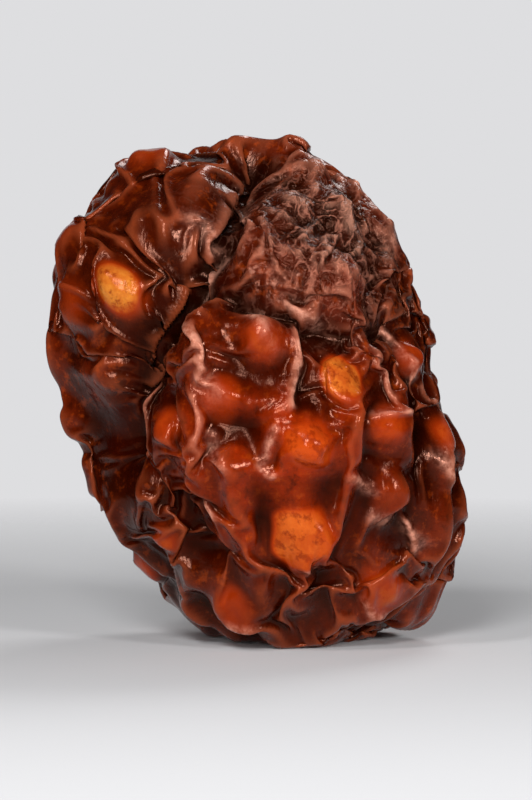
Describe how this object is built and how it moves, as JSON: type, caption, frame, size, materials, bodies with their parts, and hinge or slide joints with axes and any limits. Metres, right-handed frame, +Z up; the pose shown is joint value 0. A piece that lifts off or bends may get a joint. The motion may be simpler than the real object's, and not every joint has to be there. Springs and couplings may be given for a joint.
{
  "type": "dried chinese lantern fruit",
  "caption": "Shrivelled dried chinese lantern fruit (Physalis alkekengi berry), shelled, upright oval with folded skin, seed bumps and a stalk scar.",
  "frame": {"origin": "on the surface the berry rests on, under the middle of its bounding box", "axes": "+Z up along the berry's length, -Y towards its best side, +X to that side's right"},
  "size_m": [0.0126, 0.012, 0.0153],
  "materials": {
    "skin": "glossy, wrinkled, translucent dried fruit skin"
  },
  "bodies": {
    "root": {"berry": "skin"}
  },
  "joints": []
}
